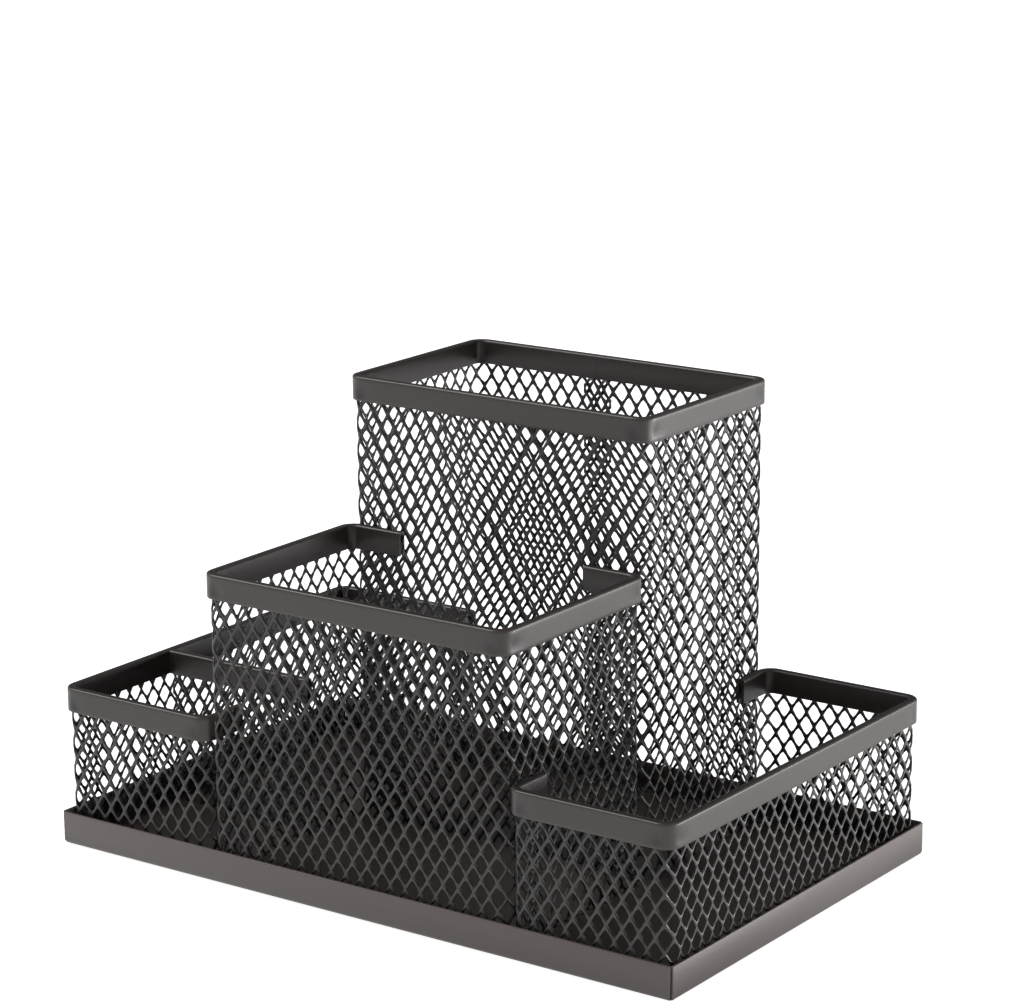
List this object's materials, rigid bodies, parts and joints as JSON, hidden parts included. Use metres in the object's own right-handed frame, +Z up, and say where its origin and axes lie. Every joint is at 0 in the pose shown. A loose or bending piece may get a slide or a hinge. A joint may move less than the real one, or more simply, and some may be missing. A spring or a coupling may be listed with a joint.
{
  "type": "desk organizer",
  "caption": "Stepped desk organizer of black steel mesh: a tall pencil cup behind a lower cup, with a low tray on each side, on one base pan.",
  "frame": {"origin": "on the desk, under the middle of the base pan", "axes": "+X to the organizer's right along its longest side, -Y to its front, +Z up"},
  "size_m": [0.165, 0.104, 0.105],
  "materials": {
    "mesh_steel": "satin black powder coat on expanded steel mesh",
    "rim_steel": "satin black powder coat on folded steel strip",
    "pan_steel": "satin black powder coat on sheet steel",
    "pad_foam": "matt black foam rubber"
  },
  "bodies": {
    "root": {"base_pan": "pan_steel", "tall_cup_mesh": "mesh_steel", "tall_cup_rim": "rim_steel", "front_cup_mesh": "mesh_steel", "front_cup_rim": "rim_steel", "left_tray_mesh": "mesh_steel", "left_tray_rim": "rim_steel", "left_divider_mesh": "mesh_steel", "left_divider_rim": "rim_steel", "right_tray_mesh": "mesh_steel", "right_tray_rim": "rim_steel", "foot_pad_front_left": "pad_foam", "foot_pad_front_right": "pad_foam", "foot_pad_back_left": "pad_foam", "foot_pad_back_right": "pad_foam"}
  },
  "joints": []
}
